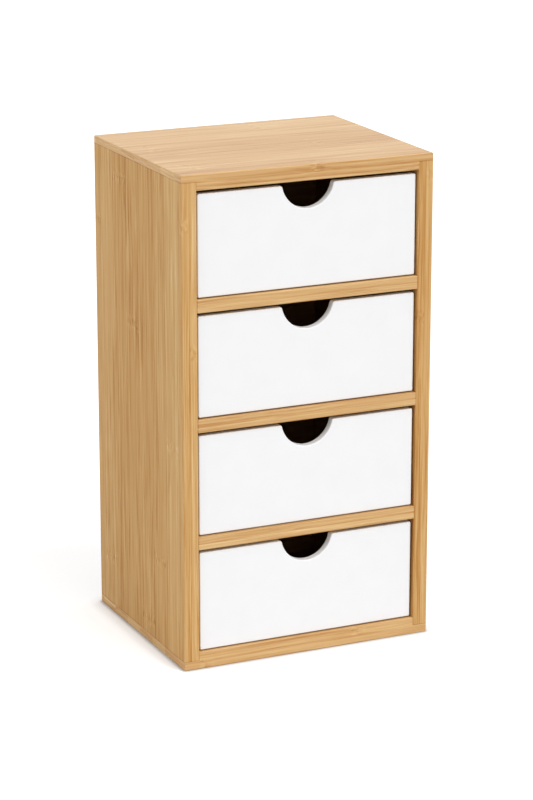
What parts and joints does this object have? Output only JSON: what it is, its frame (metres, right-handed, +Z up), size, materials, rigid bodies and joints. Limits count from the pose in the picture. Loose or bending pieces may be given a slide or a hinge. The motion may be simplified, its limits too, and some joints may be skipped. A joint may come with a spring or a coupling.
{
  "type": "desktop drawer chest",
  "caption": "Tall desktop chest: an open-fronted bamboo case divided by shelves, with white-fronted pull-out drawers that each have a round finger notch in the top edge.",
  "frame": {"origin": "centre of the case's footprint, on the surface that it stands on", "axes": "+Z up; the drawers open towards -Y; +X to the right as seen from the front"},
  "size_m": [0.178, 0.148, 0.33],
  "materials": {
    "bamboo": "narrow glued bamboo strips, clear satin",
    "white_front": "board painted smooth white, satin",
    "drawer_wood": "thin light wood boards, unfinished",
    "thin_board": "thin brown hardboard, smooth face",
    "dowel_wood": "plain beech dowel",
    "brad_steel": "plain bright steel"
  },
  "bodies": {
    "case": {"case_top": "bamboo", "case_bottom": "bamboo", "case_left_side": "bamboo", "case_right_side": "bamboo", "shelf_1": "bamboo", "shelf_1_dowels": "dowel_wood", "shelf_2": "bamboo", "shelf_2_dowels": "dowel_wood", "shelf_3": "bamboo", "shelf_3_dowels": "dowel_wood", "case_back": "thin_board", "case_back_brads": "brad_steel"},
    "drawer_1": {"drawer_1_front": "white_front", "drawer_1_left_side": "drawer_wood", "drawer_1_right_side": "drawer_wood", "drawer_1_back": "drawer_wood", "drawer_1_base": "thin_board", "drawer_1_pegs": "dowel_wood", "drawer_1_brads": "brad_steel"},
    "drawer_2": {"drawer_2_front": "white_front", "drawer_2_left_side": "drawer_wood", "drawer_2_right_side": "drawer_wood", "drawer_2_back": "drawer_wood", "drawer_2_base": "thin_board", "drawer_2_pegs": "dowel_wood", "drawer_2_brads": "brad_steel"},
    "drawer_3": {"drawer_3_front": "white_front", "drawer_3_left_side": "drawer_wood", "drawer_3_right_side": "drawer_wood", "drawer_3_back": "drawer_wood", "drawer_3_base": "thin_board", "drawer_3_pegs": "dowel_wood", "drawer_3_brads": "brad_steel"},
    "drawer_4": {"drawer_4_front": "white_front", "drawer_4_left_side": "drawer_wood", "drawer_4_right_side": "drawer_wood", "drawer_4_back": "drawer_wood", "drawer_4_base": "thin_board", "drawer_4_pegs": "dowel_wood", "drawer_4_brads": "brad_steel"}
  },
  "joints": [
    {"name": "drawer_1_slide", "type": "slide", "parent": "case", "child": "drawer_1", "axis": [0, -1, 0], "range_m": [0, 0.11]},
    {"name": "drawer_2_slide", "type": "slide", "parent": "case", "child": "drawer_2", "axis": [0, -1, 0], "range_m": [0, 0.11]},
    {"name": "drawer_3_slide", "type": "slide", "parent": "case", "child": "drawer_3", "axis": [0, -1, 0], "range_m": [0, 0.11]},
    {"name": "drawer_4_slide", "type": "slide", "parent": "case", "child": "drawer_4", "axis": [0, -1, 0], "range_m": [0, 0.11]}
  ]
}
